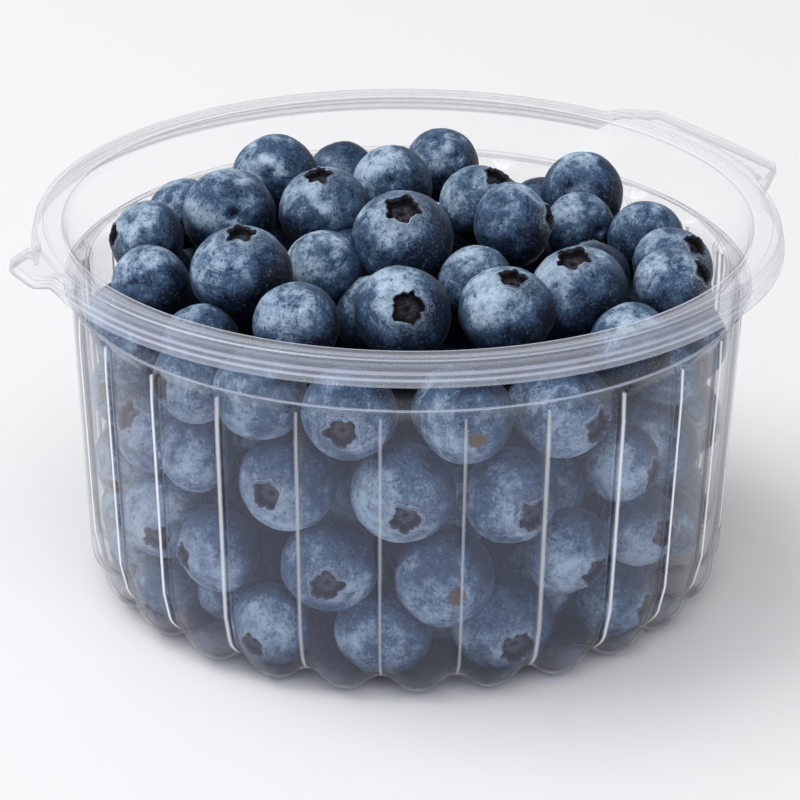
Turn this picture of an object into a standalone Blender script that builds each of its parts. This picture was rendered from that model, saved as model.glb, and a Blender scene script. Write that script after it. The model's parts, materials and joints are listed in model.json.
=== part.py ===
"""Open round punnet of blueberries: a clear ribbed tub moulded in one piece, and its heap of fruit.

Metres, +Z up. The tub stands on z = 0 with its axis on the Z axis. -Y is the front: seen from
there the pull tab is at the left and the flange that carried the lid is at the back right.
The sizes below are in millimetres, and MM turns them to metres where a mesh is made.
"""

import math

import bmesh
import bpy
from mathutils import Matrix

MM = 0.001

# The tub: one clear sheet, turned about the axis, with a rolled rim whose skirt hangs outside it
SHEET = 0.6
HEIGHT = 64.2
RIM_RADIUS = 62.5
SKIRT_RADIUS = 63.0
SKIRT_DROP = 4.3
RIM_INNER_RADIUS = 58.8
LIP_RADIUS = 57.5
LIP_DROP = 2.5
NECK_RADIUS = 53.8
NECK_HEIGHT = 56.3
SHOULDER_RADIUS = 58.0
SHOULDER_HEIGHT = 53.4
WALL_TOP_RADIUS = 56.7
WALL_TOP_HEIGHT = 51.4
WALL_FOOT_RADIUS = 54.1
FOOT_ROUND = 5.0
FLOOR_RADIUS = 43.0

# Upright ribs: grooves pressed inward between broad lobes, round the foot and onto the floor
RIBS = 26
RIB_TURN_DEG = -4.5
RIB_HALF_MOUTH_DEG = 2.0
RIB_HALF_BED_DEG = 0.7
RIB_DEPTH_TOP = 1.6
RIB_DEPTH_FOOT = 2.6

# Pull tab: a rounded tongue drawn out of the rim
TAB_AZIMUTH_DEG = 200.0
TAB_REACH = 68.3
TAB_HALF_WIDTH = 9.6
TAB_SQUARENESS = 4.0
TAB_SPAN_DEG = 20.0

# Flange that carried the lid: drawn out of the rim to a straight edge
FLANGE_AZIMUTH_DEG = 35.6
FLANGE_REACH = 67.2
FLANGE_HALF_EDGE = 15.8
FLANGE_SIDE_SLOPE = 0.85
FLANGE_SPAN_DEG = 40.0

# The turned-down edge round both
LIP_DEPTH = 1.3
LIP_SPREAD = 0.1

# How finely the tub is turned: steps round it for each rib, and angles of the foot's rounding
STEPS_PER_RIB = 5
FOOT_ARC_SHARES = (1.0, 0.5, 0.0)
SETTLING_ROUNDS = 12

# The heap of fruit
HEAP_GAP = 0.8
HEAP_GRAIN = 1.25
HEAP_TRIANGLES = 4300
BALL_FINENESS = 3
CORE_SIDES = 64

# The closed middle of the heap, behind the fruit that shows: radius and height, top to floor
CORE_LINE = (
    (0.0, 57.0),
    (14.0, 56.5),
    (30.0, 55.0),
    (43.0, 52.0),
    (48.5, 46.5),
    (50.0, 40.0),
    (48.5, 12.0),
    (46.0, 6.5),
    (40.0, 2.4),
    (0.0, 2.4),
)

# Rows of fruit that lie against the wall: height, how many, turn of the first in degrees, diameter
WALL_ROWS = (
    (10.0, 14, -3.0, 15.6),
    (20.5, 14, -15.5, 15.6),
    (34.0, 16, 0.0, 15.8),
    (47.0, 18, 10.0, 15.4),
)

# Fruit on top of the heap: right, back and up of its centre, then its diameter
TOP_FRUIT = (
    (-24, 37, 56, 15.6),
    (6, 44, 56, 13.5),
    (-3, 31, 57, 14.2),
    (30, 33, 55, 14.6),
    (-31, 19, 56, 15.9),
    (-15, 19, 57, 15.9),
    (13, 22, 57, 14.8),
    (18, 8, 59, 14.6),
    (-1, 1, 59, 17.2),
    (-44, 11, 54, 13.7),
    (-38, 26, 53, 12.5),
    (-28, -13, 58, 17.0),
    (-42, -8, 54, 13.7),
    (-14, -3, 55, 14.5),
    (29, 18, 55, 13.5),
    (41, 13, 55, 13.5),
    (45, 5, 52, 14.3),
    (44, -10, 55, 14.0),
    (28, -16, 57, 16.0),
    (11, -6, 54, 14.0),
    (-1, -22, 55, 16.0),
    (16, -21, 55, 16.0),
    (-18, -26, 54, 14.5),
    (-34, -22, 50, 13.0),
    (36, -26, 50, 13.5),
    (-30, 3, 53, 14.5),
    (-8, 10, 53, 14.0),
    (31, 3, 53, 14.0),
    (16, 36, 52, 14.0),
    (-13, 35, 51, 13.5),
    (-9, -38, 50, 14.0),
    (8, -38, 50, 14.0),
    (24, -34, 50, 13.5),
)


def clear_scene():
    for obj in list(bpy.data.objects):
        bpy.data.objects.remove(obj, do_unlink=True)


def collection_named(name):
    group = bpy.data.collections.new(name)
    bpy.context.scene.collection.children.link(group)
    return group


def surface(name, colour, roughness, alpha=1.0):
    material = bpy.data.materials.new(name)
    material.use_nodes = True
    shader = material.node_tree.nodes["Principled BSDF"]
    shader.inputs["Base Color"].default_value = (*colour, 1.0)
    shader.inputs["Roughness"].default_value = roughness
    shader.inputs["Metallic"].default_value = 0.0
    shader.inputs["Alpha"].default_value = alpha
    return material


def add_object(name, mesh, group):
    obj = bpy.data.objects.new(name, mesh)
    group.objects.link(obj)
    return obj


def turned(name, line, steps, group):
    """An object turned about Z from (radius, height) points in millimetres, as a plain mesh."""
    mesh = bpy.data.meshes.new(name)
    corners = [(radius * MM, 0.0, height * MM) for radius, height in line]
    mesh.from_pydata(corners, [(i, i + 1) for i in range(len(corners) - 1)], [])
    obj = add_object(name, mesh, group)
    screw = obj.modifiers.new("turn", "SCREW")
    screw.steps = steps
    screw.render_steps = steps
    screw.use_merge_vertices = True
    screw.merge_threshold = 0.00001
    apply_modifiers(obj)
    return obj


def apply_modifiers(obj):
    """Replaces the object's mesh with the one its modifiers make."""
    bpy.context.view_layer.update()
    graph = bpy.context.evaluated_depsgraph_get()
    made = bpy.data.meshes.new_from_object(obj.evaluated_get(graph))
    obj.modifiers.clear()
    obj.data = made


def wall_lean():
    return math.atan2(WALL_TOP_RADIUS - WALL_FOOT_RADIUS, WALL_TOP_HEIGHT)


def foot_centre_radius():
    """Radius of the middle of the foot's rounding, which is FOOT_ROUND above the floor."""
    lean = wall_lean()
    return WALL_FOOT_RADIUS + FOOT_ROUND * math.tan(lean) - FOOT_ROUND / math.cos(lean)


def tub_line():
    """The sheet's outer face: up inside the skirt, under the rim, down the wall and under the floor."""
    line = [
        (SKIRT_RADIUS - SHEET, HEIGHT - SKIRT_DROP),
        (RIM_RADIUS - SHEET, HEIGHT - SHEET),
        (RIM_INNER_RADIUS, HEIGHT - SHEET),
        (LIP_RADIUS, HEIGHT - LIP_DROP),
        (NECK_RADIUS, NECK_HEIGHT),
        (SHOULDER_RADIUS, SHOULDER_HEIGHT),
        (WALL_TOP_RADIUS, WALL_TOP_HEIGHT),
    ]
    centre = foot_centre_radius()
    for share in FOOT_ARC_SHARES:
        turn = -math.pi / 2 + share * (math.pi / 2 - wall_lean())
        line.append((centre + FOOT_ROUND * math.cos(turn), FOOT_ROUND * (1 + math.sin(turn))))
    line.append((FLOOR_RADIUS, 0.0))
    line.append((0.0, 0.0))
    return line


def turn_between(degrees, centre):
    return (degrees - centre + 180.0) % 360.0 - 180.0


def gathered_angle(degrees):
    """Moves the even steps so that two lie on each rib's bed and two on its mouth's edges."""
    pitch = 360.0 / RIBS
    places = (-RIB_HALF_MOUTH_DEG, -RIB_HALF_BED_DEG, RIB_HALF_BED_DEG, RIB_HALF_MOUTH_DEG, pitch / 2)
    step = round(degrees / (pitch / STEPS_PER_RIB))
    rib, place = divmod(step, STEPS_PER_RIB)
    return rib * pitch + places[place]


def rib_share(degrees_from_rib):
    """1 on a rib's bed and 0 on a lobe."""
    away = abs(degrees_from_rib)
    share = (RIB_HALF_MOUTH_DEG - away) / (RIB_HALF_MOUTH_DEG - RIB_HALF_BED_DEG)
    return min(max(share, 0.0), 1.0)


def rib_push(radius, height):
    """How far a rib's bed stands in from the lobes here: inward and upward."""
    above_wall = height > (WALL_TOP_HEIGHT + SHOULDER_HEIGHT) / 2
    on_floor = radius < (FLOOR_RADIUS + foot_centre_radius()) / 2
    if above_wall or on_floor:
        return 0.0, 0.0
    if height >= FOOT_ROUND:
        rise = (height - FOOT_ROUND) / (WALL_TOP_HEIGHT - FOOT_ROUND)
        return RIB_DEPTH_FOOT + (RIB_DEPTH_TOP - RIB_DEPTH_FOOT) * rise, 0.0
    out = (radius - foot_centre_radius()) / FOOT_ROUND
    down = (FOOT_ROUND - height) / FOOT_ROUND
    return RIB_DEPTH_FOOT * out, RIB_DEPTH_FOOT * down


def press_ribs(obj):
    """Presses the upright ribs into the turned sheet."""
    pitch = 360.0 / RIBS
    for vert in obj.data.vertices:
        radius = math.hypot(vert.co.x, vert.co.y) / MM
        if radius < FLOOR_RADIUS / 2:
            continue
        degrees = gathered_angle(math.degrees(math.atan2(vert.co.y, vert.co.x)))
        share = rib_share((degrees + pitch / 2) % pitch - pitch / 2)
        inward, upward = rib_push(radius, vert.co.z / MM)
        radius -= inward * share
        turn = math.radians(degrees + RIB_TURN_DEG - 90.0)
        vert.co.x = radius * math.cos(turn) * MM
        vert.co.y = radius * math.sin(turn) * MM
        vert.co.z += upward * share * MM


def tab_radius(degrees):
    """How far the pull tab reaches in this direction, or 0 away from it."""
    off = math.radians(turn_between(degrees, TAB_AZIMUTH_DEG))
    if abs(off) > math.radians(TAB_SPAN_DEG):
        return 0.0
    reach = TAB_REACH
    for _ in range(SETTLING_ROUNDS):
        across = abs(reach * math.sin(off)) / TAB_HALF_WIDTH
        tongue = RIM_RADIUS + (TAB_REACH - RIM_RADIUS) * (1.0 - across**TAB_SQUARENESS)
        reach = 0.5 * reach + 0.5 * tongue / math.cos(off)
    return reach


def flange_radius(degrees):
    """How far the lid's flange reaches in this direction, or 0 away from it."""
    off = math.radians(turn_between(degrees, FLANGE_AZIMUTH_DEG))
    if abs(off) > math.radians(FLANGE_SPAN_DEG):
        return 0.0
    to_edge = FLANGE_REACH / math.cos(off)
    side = math.cos(off) * FLANGE_SIDE_SLOPE + abs(math.sin(off))
    to_side = (FLANGE_HALF_EDGE + FLANGE_SIDE_SLOPE * FLANGE_REACH) / side
    return min(to_edge, to_side)


def draw_out_rim(obj):
    """Draws the pull tab and the lid's flange out of the turned rim, with a low lip for a skirt."""
    for vert in obj.data.vertices:
        radius = math.hypot(vert.co.x, vert.co.y) / MM
        if radius < (RIM_INNER_RADIUS + RIM_RADIUS) / 2:
            continue
        degrees = math.degrees(math.atan2(vert.co.y, vert.co.x))
        reach = max(tab_radius(degrees), flange_radius(degrees))
        if reach <= SKIRT_RADIUS:
            continue
        reach -= SHEET
        if vert.co.z < (HEIGHT - SKIRT_DROP / 2) * MM:
            reach += LIP_SPREAD
            vert.co.z = (HEIGHT - LIP_DEPTH) * MM
        vert.co.x *= reach / radius
        vert.co.y *= reach / radius


def build_tub(material, group):
    """The whole tub as one sheet, thickened inward from its outer face."""
    tub = turned("tub", tub_line(), RIBS * STEPS_PER_RIB, group)
    press_ribs(tub)
    draw_out_rim(tub)
    shell = tub.modifiers.new("sheet", "SOLIDIFY")
    shell.thickness = SHEET * MM
    shell.offset = -1.0
    shell.use_even_offset = True
    tub.data.materials.append(material)
    tub.data.shade_smooth()
    return tub


def inside_radius(height):
    """The tub's free inside radius at this height, past its ribs."""
    foot = WALL_FOOT_RADIUS - RIB_DEPTH_FOOT
    top = WALL_TOP_RADIUS - RIB_DEPTH_TOP
    return foot + (top - foot) * height / WALL_TOP_HEIGHT - SHEET - HEAP_GAP


def all_fruit():
    """Centre and radius of each fruit that shows on the heap."""
    fruit = [(x, y, z, size / 2.0) for x, y, z, size in TOP_FRUIT]
    for height, count, turn, size in WALL_ROWS:
        radius = size / 2.0
        out = inside_radius(height) - radius
        for step in range(count):
            angle = math.radians(-90.0 + turn + 360.0 * step / count)
            fruit.append((out * math.cos(angle), out * math.sin(angle), height, radius))
    return fruit


def add_balls(obj):
    """Adds a ball for each fruit to the heap's middle."""
    shape = bmesh.new()
    shape.from_mesh(obj.data)
    for x, y, z, radius in all_fruit():
        place = Matrix.Translation((x * MM, y * MM, z * MM))
        bmesh.ops.create_icosphere(
            shape, subdivisions=BALL_FINENESS, radius=radius * MM, matrix=place
        )
    shape.to_mesh(obj.data)
    shape.free()


def keep_outer_skin(obj):
    """Keeps the largest skin only, which fills any pocket that the fruit closes in."""
    shape = bmesh.new()
    shape.from_mesh(obj.data)
    unseen = set(shape.verts)
    skins = []
    while unseen:
        waiting = [unseen.pop()]
        skin = list(waiting)
        while waiting:
            for edge in waiting.pop().link_edges:
                for vert in edge.verts:
                    if vert in unseen:
                        unseen.remove(vert)
                        skin.append(vert)
                        waiting.append(vert)
        skins.append(skin)
    skins.sort(key=len)
    for skin in skins[:-1]:
        bmesh.ops.delete(shape, geom=skin, context="VERTS")
    shape.to_mesh(obj.data)
    shape.free()


def build_heap(material, group):
    """The heap of fruit as one solid out to its uneven outline."""
    heap = turned("berries", CORE_LINE, CORE_SIDES, group)
    add_balls(heap)
    skin = heap.modifiers.new("one skin", "REMESH")
    skin.mode = "VOXEL"
    skin.voxel_size = HEAP_GRAIN * MM
    apply_modifiers(heap)
    keep_outer_skin(heap)
    heap.data.materials.clear()
    heap.data.materials.append(material)
    triangles = sum(len(face.vertices) - 2 for face in heap.data.polygons)
    thin = heap.modifiers.new("even out", "DECIMATE")
    thin.ratio = HEAP_TRIANGLES / triangles
    heap.data.shade_smooth()
    return heap


def main():
    clear_scene()
    group = collection_named("blueberry_punnet")
    build_tub(surface("clear_plastic", (0.93, 0.95, 0.97), 0.08, 0.3), group)
    build_heap(surface("berry_skin", (0.06, 0.09, 0.18), 0.55), group)


main()
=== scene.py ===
"""The look of an open round punnet of blueberries: its clear ribbed tub and the fruit heaped in it.

Sizes are in millimetres and MM turns them to metres. -Y is the front and +Z is up.
"""

import json
import math
import random
from functools import partial

import bpy
from mathutils import Matrix, Vector, noise

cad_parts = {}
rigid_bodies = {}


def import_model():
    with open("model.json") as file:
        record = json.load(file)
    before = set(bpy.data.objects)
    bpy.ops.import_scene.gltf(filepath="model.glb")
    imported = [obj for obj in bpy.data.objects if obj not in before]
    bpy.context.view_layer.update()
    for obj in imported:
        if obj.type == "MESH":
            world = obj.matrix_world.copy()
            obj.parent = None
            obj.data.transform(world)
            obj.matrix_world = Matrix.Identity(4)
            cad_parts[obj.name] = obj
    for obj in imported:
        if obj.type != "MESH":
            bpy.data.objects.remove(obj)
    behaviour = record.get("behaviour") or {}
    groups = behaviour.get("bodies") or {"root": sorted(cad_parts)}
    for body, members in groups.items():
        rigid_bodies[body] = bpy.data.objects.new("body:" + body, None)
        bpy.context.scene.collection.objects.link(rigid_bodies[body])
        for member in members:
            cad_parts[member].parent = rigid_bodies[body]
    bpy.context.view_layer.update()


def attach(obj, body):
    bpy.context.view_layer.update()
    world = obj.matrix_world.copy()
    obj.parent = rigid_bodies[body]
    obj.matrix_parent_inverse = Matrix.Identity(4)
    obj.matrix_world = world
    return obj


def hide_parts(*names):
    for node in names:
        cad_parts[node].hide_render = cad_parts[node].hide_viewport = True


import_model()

MM = 0.001

# The tub, on the outer face of its sheet
SHEET = 0.6
HEIGHT = 64.2
RIM_RADIUS = 62.4
RIM_STEP_RADIUS = 60.6
RIM_STEP = 0.15
RIM_INNER_RADIUS = 58.1
SKIRT_DROP = 4.3
SKIRT_BEADS = 3
SKIRT_FIRST_BEAD = 0.85
SKIRT_BEAD_GAP = 1.1
SKIRT_BEAD_STEP = 0.22
LEDGE_RADIUS = 57.4
LEDGE_DROP = 2.6
NECK_RADIUS = 53.8
NECK_HEIGHT = 56.3
SHOULDER_BEND_RADIUS = 56.3
SHOULDER_BEND_HEIGHT = 54.95
SHOULDER_RADIUS = 58.0
SHOULDER_HEIGHT = 53.6
WALL_TOP_RADIUS = 56.7
WALL_TOP_HEIGHT = 51.4
WALL_FOOT_RADIUS = 54.1
FOOT_ROUND = 6.5
FLOOR_RADIUS = 43.0

# Upright ribs pressed inward between broad lobes
RIBS = 26
RIB_TURN_DEG = -94.1538
# Painted highlight line and painted shade band on each rib: half widths and shifts, in degrees
RIB_LINE_HALF_DEG = 0.36
RIB_LINE_SHIFT_DEG = 0.9
RIB_BAND_HALF_DEG = 0.7
RIB_BAND_SHIFT_DEG = 0.35
RIB_HALF_WIDTH_DEG = 1.0
RIB_DEPTH = 1.0
RIB_FOOT_HALF_MOUTH_DEG = 5.6
RIB_FOOT_HALF_BED_DEG = 0.3
RIB_FOOT_DEPTH = 2.4
RIB_FLARE_HEIGHT = 13.0
LOBE_TOP_CORNER = 1.3
STEPS_PER_RIB = 18
LONGEST_STRETCH = 5.0
FOLD_GUARD = 0.22
PLASTIC_IOR = 1.5

# How milky the sheet is, as a share, and the bends per mm from which and by which it whitens.
# The white fold and foot lines are partly stress whitening and partly painted highlight, the rib
# line is a painted highlight, and the plate folds get painted shade
WALL_HAZE = 0.006
SHOULDER_HAZE = 0.028
RIM_HAZE = 0.135
FOLD_WHITE_AND_HIGHLIGHT = 0.5
FOOT_LINE_WHITE_AND_HIGHLIGHT = 0.6
FOOT_LINE_TOP = 8.0
RIB_HIGHLIGHT_SHARE = 0.95
NECK_SHINE = 0.1
PLATE_FOLD_SHADE = 0.6
FOLD_SOFT = 1.0
FOLD_SHARP = 4.0

# Painted highlights, white lines round the rim: how far out across its top and then down its
# skirt, half the width, share
RIM_HIGHLIGHTS = (
    (58.15, 0.45, 0.62),
    (60.65, 0.42, 0.50),
    (62.2, 0.40, 0.46),
    (63.3, 0.25, 0.26),
    (64.5, 0.42, 0.46),
    (65.55, 0.34, 0.52),
    (66.4, 0.18, 0.25),
)

# Painted shade, grey lines along the rim's edges where it stands before the backdrop, in the same way
RIM_SHADES = (
    (57.75, 0.22, 0.45),
    (60.95, 0.20, 0.35),
    (62.5, 0.25, 0.50),
    (64.9, 0.30, 0.20),
    (66.55, 0.25, 0.50),
)

# Pull tab and lid flange, drawn out of the rim
TAB_AZIMUTH_DEG = 200.6
TAB_REACH = 68.5
TAB_HALF_DEG = 7.6
TAB_LEAN = 0.17
TAB_SLANTED_SIDE = 1.0
TAB_STEEP_SIDE = 3.5
TAB_SHARPNESS = 4.0
FLANGE_AZIMUTH_DEG = 35.6
FLANGE_REACH = 67.2
FLANGE_HALF_EDGE = 15.8
FLANGE_SIDE_SLOPE = 0.85
PLATE_LIP = 1.3

# The fruit: segments round one, how many shapes, how tall for its width, its gap to the sheet
FRUIT_SIDES = 40
FRUIT_KINDS = 9
FRUIT_FLATNESS = 0.88
WALL_GAP = 0.1
CORE_RADIUS = 32.0
CORE_TOP = 42.0
CORE_FOOT = 2.0

# How far two fruits may press into each other, and how freely they move when they are set apart
TOUCH = 1.3
PLACED_TOUCH = 2.8
FREE = 1.0
HELD = 0.1

# Painted light makes each fruit paler on one side: that side for the fruit on top, and for the fruit at the
# wall, with its share
PAINTED_LIGHT_SIDE = Vector((-0.42, -0.25, 0.87))
WALL_PAINTED_LIGHT_SIDE = Vector((-0.50, -0.80, -0.32))
WALL_PAINTED_LIGHT = 1.02

# Fruit that shows from the front: right, back and up of its centre, its diameter and, where one of
# its ends shows, which, with that end's turn from the front (90 is to the right) and rise above level
TOP_FRUIT = (
    (-23.5, 36, 56.5, 15.4),
    (6, 43, 56.5, 13.4),
    (-3, 30, 57.5, 14.2),
    (30.5, 32, 55.5, 14.8),
    (-31, 18, 56.5, 16.0),
    (-14.5, 19.5, 57, 15.9, "crown", 330, 75),
    (12.5, 22, 57, 14.8, "crown", 60, 60),
    (17.7, 8, 59, 14.6, "crown", 80, 15),
    (-1, 1, 59, 17.3, "crown", 0, 62),
    (-44.5, 10.5, 54.5, 13.8, "crown", 285, 15),
    (-40, 25, 54, 12.5),
    (-27.5, -12, 58, 17.1, "crown", 0, 80),
    (-43, -7, 53.3, 13.8),
    (-14, -3, 55, 13.6),
    (29.5, 17, 55, 12.8),
    (41, 14, 54, 13.5),
    (45, 4, 53, 14.3, "crown", 60, 50),
    (44, -10.5, 55, 14.0, "crown", 70, 35),
    (28.3, -14, 56, 16.2, "crown", 330, 70),
    (11.3, -6, 54, 13.2),
    (-0.7, -22.5, 55.3, 16.0, "crown", 8, 30),
    (16.3, -21.5, 55.5, 15.9, "crown", 25, 72),
    (-18, -26, 54.6, 14.4),
    (-34, -22, 49.5, 13.0),
    (36.5, -27, 52.0, 14.0),
    (-5, -8, 48.5, 14.5),
)
WALL_FRUIT = (
    (-24, -41, 48.7, 15.2),
    (-9, -46, 48, 15.5, "crown", 350, -5),
    (9.5, -46, 47.5, 15.4, "scar", 15, -10),
    (26, -39.5, 45.5, 15.7, "crown", 45, -5),
    (-34, -33, 35.3, 13.9, "crown", 275, -5),
    (-19, -42, 34, 16.4, "crown", 335, 5),
    (-0.5, -45, 33.7, 17.0, "crown", 5, -10),
    (17, -43, 32.3, 15.8, "crown", 30, -5),
    (35.5, -31.5, 33, 13.1, "crown", 60, -5),
    (-30.5, -34, 18.2, 14.8, "crown", 300, 0),
    (-12, -43.5, 20, 16.2, "crown", 355, -5),
    (6.5, -45, 18.5, 16.5, "scar", 15, 0),
    (26.5, -38, 20.2, 14.7, "crown", 45, -15),
    (-40.5, -25, 6.8, 12.2, "crown", 310, -45),
    (-21.7, -41, 7.6, 14.2, "crown", 330, -10),
    (-3.5, -46.5, 8.0, 16.2, "crown", 350, -55),
    (17, -44, 8.5, 17.0, "crown", 20, -10),
    (35.2, -30, 7.5, 14.2, "crown", 60, -5),
    (47, -17, 15, 12.5, "scar", 80, 20),
)

# Fruit half hidden behind these
FILL_FRUIT = (
    (-30, 3, 51, 14.0),
    (-9, 9, 50.5, 13.5),
    (31, 2, 52, 13.5),
    (16, 35, 51, 13.5),
    (-12, 35, 50, 13.0),
    (-10, 45, 52.5, 12.5),
    (24, -30, 40, 14.5),
    (-30, -22, 37, 14.5),
    (8, -30, 42, 14.5),
    (-9, -31, 41, 14.5),
    (-38, -20, 21, 14.0),
    (42, -18, 25, 14.5),
    (-8, -33, 12, 14.5),
    (8, -32, 8, 14.5),
    (27, -28, 9, 14.0),
    (-30, -27, 8, 13.5),
    (-12, -32, 27, 14.5),
    (8, -33, 26, 14.5),
    (24, -29, 31, 14.5),
)

# The camera: how far in front of the tub, how high, and its turn down, sideways and round
CAMERA_BACK = 620.0
CAMERA_UP = 306.6
CAMERA_DOWN_DEG = 24.06
CAMERA_TURN_DEG = -0.1
CAMERA_ROLL_DEG = 0.49
CAMERA_LENS = 178.56

# The light: how bright the backdrop and the ceiling are, and from what share of the way up, and
# two broad lamps, by their turn from the front and their rise
BACKDROP_STRENGTH = 1.0
BACKDROP_TOP = 0.25
CEILING_STRENGTH = 0.28
CEILING_START = 0.6
FLOOR_GAP = 0.2
SOFTBOX_SIZE = 1200.0
SOFTBOX_DISTANCE = 1600.0
KEY_TURN_DEG = 262.0
KEY_RISE_DEG = 57.0
KEY_WATTS = 15.5
FILL_TURN_DEG = 8.0
FILL_RISE_DEG = 60.0
FILL_WATTS = 9.0

# Rows round the sides and back: height, first and last turn from the front, how many, diameter
WALL_ROWS = (
    (8.5, 68, 294, 10, 15.0),
    (20.5, 58, 302, 12, 15.0),
    (34.0, 62, 300, 12, 15.2),
    (47.0, 64, 312, 13, 14.8),
)

# Rows of the inner fruit: height, how far from the axis, how many
INNER_ROWS = ((9, 30, 12), (21, 31, 13), (33, 31, 13), (40, 31, 13), (39, 15, 7))


def join(tree, value, socket):
    """Feeds a node's input from another node's output, or sets it to a plain value."""
    if isinstance(value, bpy.types.NodeSocket):
        tree.links.new(value, socket)
    else:
        socket.default_value = value


def add_node(tree, kind, inputs=None, **settings):
    """A new node with these settings. Each of its inputs given, by name or number, is fed or set."""
    node = tree.nodes.new(kind)
    for setting, value in settings.items():
        setattr(node, setting, value)
    for socket, value in (inputs or {}).items():
        join(tree, value, node.inputs[socket])
    return node


def add_socket(tree, name, side, kind="Float"):
    tree.interface.new_socket(name, in_out=side, socket_type="NodeSocket" + kind)


def sum_node(tree, operation, *values):
    """One step of arithmetic on numbers or outputs of other nodes."""
    return add_node(tree, "ShaderNodeMath", dict(enumerate(values)), operation=operation).outputs[0]


def ramp_node(tree, value, start, end, low=0.0, high=1.0, kind="SMOOTHSTEP"):
    """Runs from low to high while the value goes from start to end."""
    inputs = dict(enumerate((value, start, end, low, high)))
    return add_node(tree, "ShaderNodeMapRange", inputs, interpolation_type=kind).outputs[0]


def new_object(name, data):
    obj = bpy.data.objects.new(name, data)
    bpy.context.scene.collection.objects.link(obj)
    return obj


def apply_modifiers(obj):
    """Turns what the object's modifiers make into its own plain mesh."""
    bpy.context.view_layer.update()
    graph = bpy.context.evaluated_depsgraph_get()
    made = bpy.data.meshes.new_from_object(obj.evaluated_get(graph))
    obj.modifiers.clear()
    obj.data = made


def write_marks(mesh, label, values, kind="FLOAT"):
    """Writes a number or a vector on each point of the mesh."""
    field = "vector" if kind == "FLOAT_VECTOR" else "value"
    mesh.attributes.new(label, kind, "POINT").data.foreach_set(field, values)


def add_nodes_modifier(obj, tree, values):
    """Puts a geometry tree on an object and sets its named inputs."""
    modifier = obj.modifiers.new(tree.name, "NODES")
    modifier.node_group = tree
    for item in tree.interface.items_tree:
        if item.item_type == "SOCKET" and item.name in values:
            modifier[item.identifier] = values[item.name]


def geometry_tree(name, numbers):
    """An empty geometry tree with named number inputs. Gives it with its input and output nodes."""
    tree = bpy.data.node_groups.new(name, "GeometryNodeTree")
    add_socket(tree, "Geometry", "INPUT", "Geometry")
    for number in numbers:
        add_socket(tree, number, "INPUT")
    add_socket(tree, "Geometry", "OUTPUT", "Geometry")
    return tree, tree.nodes.new("NodeGroupInput"), tree.nodes.new("NodeGroupOutput")


# ---- The clear tub ----


def filleted(corners):
    """A line through (radius, height, fillet) corners, with an arc at each corner that has a fillet."""
    line = []
    for i, (radius, height, fillet) in enumerate(corners):
        here = Vector((radius, height))
        if fillet == 0:
            line.append(here)
            continue
        back = Vector(corners[i - 1][:2]) - here
        onward = Vector(corners[i + 1][:2]) - here
        before, after = back.normalized(), onward.normalized()
        half = before.angle(after) / 2
        run = fillet / math.tan(half)
        middle = here + (before + after).normalized() * (fillet / math.sin(half))
        start = here + before * run - middle
        turn = start.angle_signed(here + after * run - middle)
        steps = 12 if fillet > 2.0 else 4 if fillet > 0.35 else 2
        # A point just off each end of an arc keeps its whitening to the arc
        far = run + FOLD_GUARD
        if back.length > 2.5 * far:
            line.append(here + before * far)
        for step in range(steps + 1):
            line.append(middle + Matrix.Rotation(-turn * step / steps, 2) @ start)
        if onward.length > 2.5 * far:
            line.append(here + after * far)
    return line


def evened(line, longest):
    """Adds points so that no stretch is longer than this, but for the one that ends on the axis."""
    points = [line[0]]
    for end in line[1:]:
        start = points[-1]
        count = 1 if end.x < 1.0 else max(1, math.ceil((end - start).length / longest))
        points += [start.lerp(end, step / count) for step in range(1, count + 1)]
    return points


def skirt_line():
    """The skirt from its lower edge up to the rim's outer corner, with fine beads round it."""
    low = HEIGHT - SKIRT_DROP
    line = [(RIM_RADIUS + 0.1, low, 0)]
    for bead in range(SKIRT_BEADS):
        up = low + SKIRT_FIRST_BEAD + bead * SKIRT_BEAD_GAP
        out = RIM_RADIUS + 0.1 - bead * SKIRT_BEAD_STEP
        line.append((out, up, 0.15))
        line.append((out - SKIRT_BEAD_STEP, up + 0.3, 0.15))
    return line + [(RIM_RADIUS - SHEET, HEIGHT - SHEET, 0.2)]


def tub_line():
    """The sheet's outer face: up the skirt, under the rim, down the wall and under the floor."""
    under_rim = HEIGHT - SHEET
    corners = skirt_line() + [
        (RIM_STEP_RADIUS + 0.3, under_rim, 0.15),
        (RIM_STEP_RADIUS, under_rim - RIM_STEP, 0.15),
        (RIM_INNER_RADIUS, under_rim - RIM_STEP, 0.3),
        (LEDGE_RADIUS, HEIGHT - LEDGE_DROP, 0.6),
        (NECK_RADIUS, NECK_HEIGHT, 0.5),
        (SHOULDER_BEND_RADIUS, SHOULDER_BEND_HEIGHT, 0.8),
        (SHOULDER_RADIUS, SHOULDER_HEIGHT, 0.25),
        (WALL_TOP_RADIUS, WALL_TOP_HEIGHT, 1.0),
        (WALL_FOOT_RADIUS, 0.0, FOOT_ROUND),
        (FLOOR_RADIUS, 0.0, 0),
        (0.0, 0.0, 0),
    ]
    return filleted(corners)


def rib_sizes():
    """The named inputs of the tree that presses the ribs."""
    return {
        "Ribs": float(RIBS),
        "Turn": math.radians(RIB_TURN_DEG),
        "Half Width": math.radians(RIB_HALF_WIDTH_DEG),
        "Depth": RIB_DEPTH * MM,
        "Foot Half Mouth": math.radians(RIB_FOOT_HALF_MOUTH_DEG),
        "Foot Half Bed": math.radians(RIB_FOOT_HALF_BED_DEG),
        "Foot Depth": RIB_FOOT_DEPTH * MM,
        "Flare Height": RIB_FLARE_HEIGHT * MM,
        "Wall Top": WALL_TOP_HEIGHT * MM,
        "Shoulder": (SHOULDER_HEIGHT - 0.8) * MM,
        "Top Corner": LOBE_TOP_CORNER * MM,
        "Floor Radius": FLOOR_RADIUS * MM,
        "Foot Radius": (WALL_FOOT_RADIUS - FOOT_ROUND) * MM,
    }


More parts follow.
